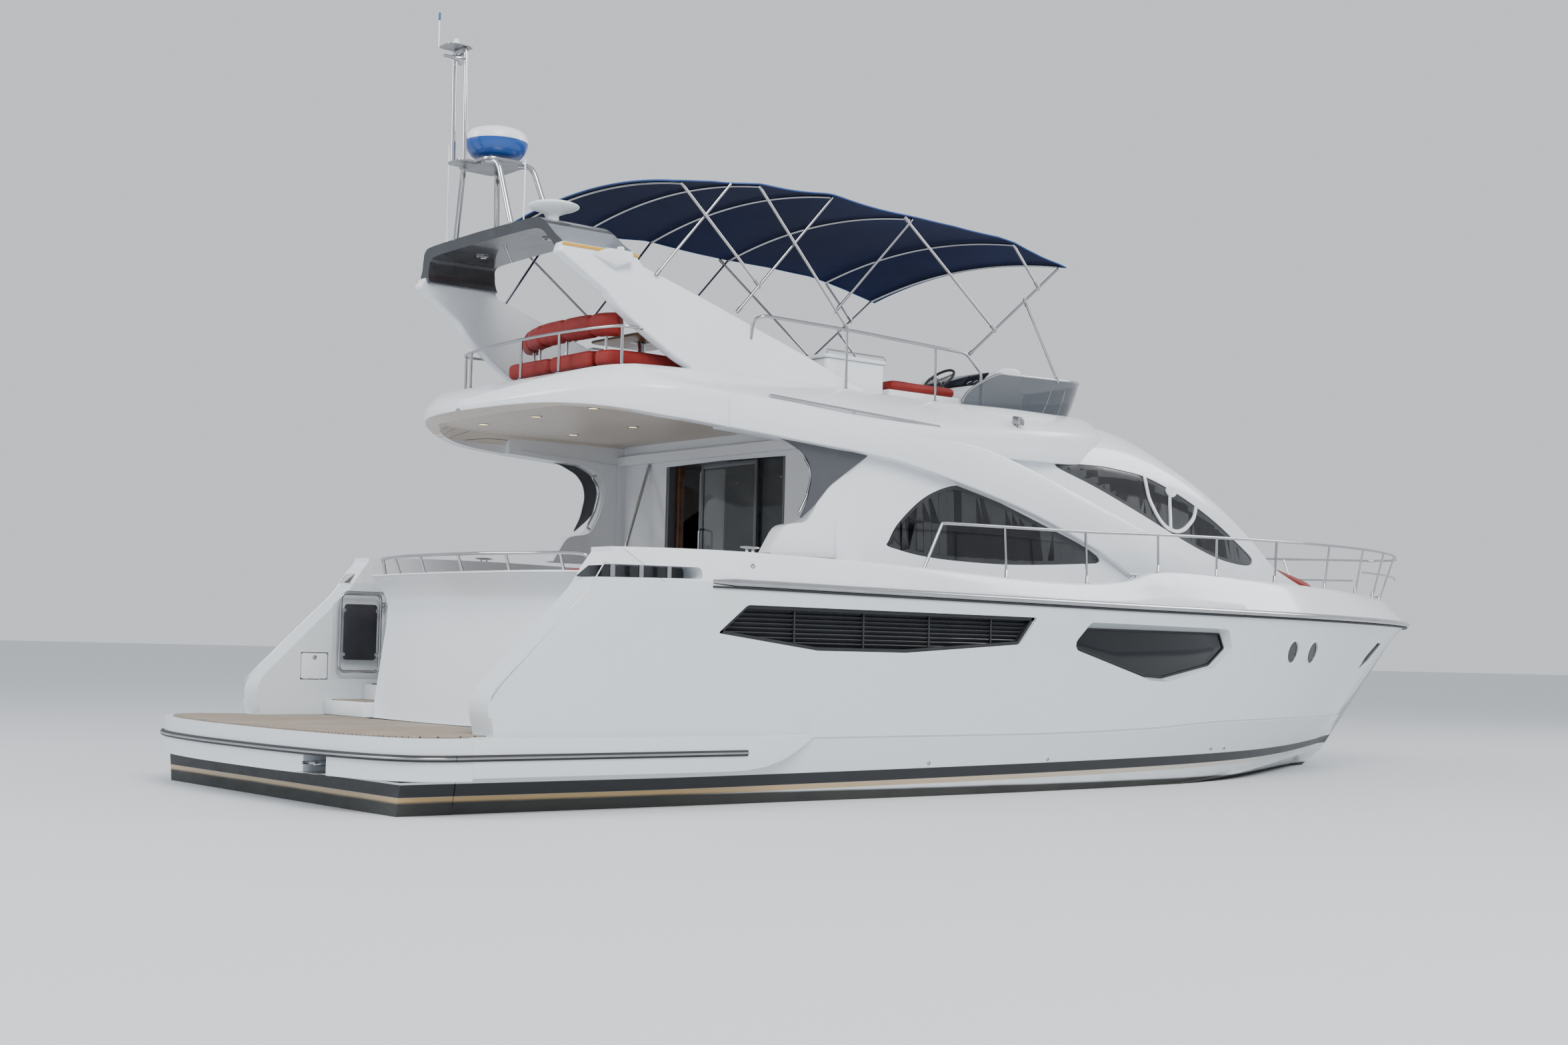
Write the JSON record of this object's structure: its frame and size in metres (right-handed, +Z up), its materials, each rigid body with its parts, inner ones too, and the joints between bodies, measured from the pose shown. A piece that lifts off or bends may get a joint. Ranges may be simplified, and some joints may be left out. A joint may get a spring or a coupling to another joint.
{
  "type": "motor yacht",
  "caption": "Flybridge motor yacht afloat: raked hull with swim platform, cockpit under the overhang, hollow saloon, swept side bands, arch with radar mast and a canopy over the flybridge.",
  "frame": {"origin": "on the centreline at the waterline, amidships, 8.0 m ahead of the transom", "axes": "+X to the bow, +Y to port, +Z up"},
  "size_m": [17.588, 5.25, 8.4171],
  "materials": {
    "gelcoat": "white gelcoat",
    "teak": "weathered teak planking",
    "glass": "dark tinted glass",
    "smoked": "smoked acrylic",
    "steel": "polished stainless steel",
    "grey": "dark grey gloss",
    "black": "matt black",
    "canvas": "navy acrylic cloth",
    "red": "red upholstery",
    "wood": "varnished dark wood",
    "bronze": "cast bronze",
    "engine": "light grey paint"
  },
  "bodies": {
    "boat": {"hull": "gelcoat", "louvre_stbd": "black", "louvre_port": "black", "hull_window_stbd": "glass", "hull_window_port": "glass", "swim_platform": "gelcoat", "platform_teak": "teak", "platform_fender": "black", "stern_moulding": "gelcoat", "cockpit_cushion": "red", "boarding_steps": "gelcoat", "cockpit_teak": "teak", "engine_stbd": "engine", "engine_port": "engine", "rub_rail": "steel", "deckhouse": "gelcoat", "windscreen": "glass", "side_window_stbd": "glass", "side_window_port": "glass", "quarter_window_stbd": "glass", "quarter_window_port": "glass", "door_frame": "steel", "door_pane_fixed": "glass", "saloon_furniture": "wood", "flybridge": "gelcoat", "arch_beam": "grey", "radar_mast": "gelcoat", "radome": "gelcoat", "satcom_dome": "gelcoat", "fly_windscreen": "smoked", "bimini_canopy": "canvas", "bimini_frame": "steel", "bow_rail": "steel", "fly_aft_rail": "steel", "fly_side_rail_stbd": "steel", "fly_side_rail_port": "steel", "stern_rail": "steel", "sofa_base": "gelcoat", "sofa_cushion": "red", "fly_table": "wood", "wet_bar": "gelcoat", "helm_bench": "gelcoat", "helm_bench_cushion": "red", "helm_console": "gelcoat", "sunpad": "red"},
    "propeller_stbd_body": {"propeller_stbd": "bronze"},
    "propeller_port_body": {"propeller_port": "bronze"},
    "rudder_stbd_body": {"rudder_stbd": "bronze"},
    "rudder_port_body": {"rudder_port": "bronze"},
    "saloon_door": {"door_sliding": "glass"},
    "gate": {"boarding_gate": "steel"},
    "locker": {"locker_lid": "gelcoat"},
    "engine_lid": {"engine_hatch": "teak"},
    "deck_hatch": {"foredeck_hatch": "glass"}
  },
  "joints": [
    {"name": "propeller_stbd_spin", "type": "hinge", "parent": "boat", "child": "propeller_stbd_body", "pos_m": [-7.05, -0.82, -0.94], "axis": [0.9871, 0, 0.1602], "continuous": true},
    {"name": "propeller_port_spin", "type": "hinge", "parent": "boat", "child": "propeller_port_body", "pos_m": [-7.05, 0.82, -0.94], "axis": [0.9871, 0, 0.1602], "continuous": true},
    {"name": "rudder_stbd_turn", "type": "hinge", "parent": "boat", "child": "rudder_stbd_body", "pos_m": [-7.67, -0.82, -0.64], "axis": [0, 0, 1], "range_deg": [-35, 35]},
    {"name": "rudder_port_turn", "type": "hinge", "parent": "boat", "child": "rudder_port_body", "pos_m": [-7.67, 0.82, -0.64], "axis": [0, 0, 1], "range_deg": [-35, 35]},
    {"name": "saloon_door_slide", "type": "slide", "parent": "boat", "child": "saloon_door", "axis": [0, 1, 0], "range_m": [-0.44, 0.55]},
    {"name": "gate_swing", "type": "hinge", "parent": "boat", "child": "gate", "pos_m": [-6.38, 2.03, 1.47], "axis": [0, 0, 1], "range_deg": [0, 90]},
    {"name": "locker_lid_tilt", "type": "hinge", "parent": "boat", "child": "locker", "pos_m": [-7.144, 2.062, 0.996], "axis": [1, 0, 0], "range_deg": [0, 90]},
    {"name": "engine_lid_lift", "type": "hinge", "parent": "boat", "child": "engine_lid", "pos_m": [-4.256, 0, 1.312], "axis": [0, 1, 0], "range_deg": [0, 80]},
    {"name": "deck_hatch_lift", "type": "hinge", "parent": "boat", "child": "deck_hatch", "pos_m": [7.06, 0, 2.118], "axis": [0, -1, 0], "range_deg": [0, 80]}
  ],
  "couplings": [
    {"joint": "rudder_port_turn", "follows": "rudder_stbd_turn", "ratio": 1}
  ]
}
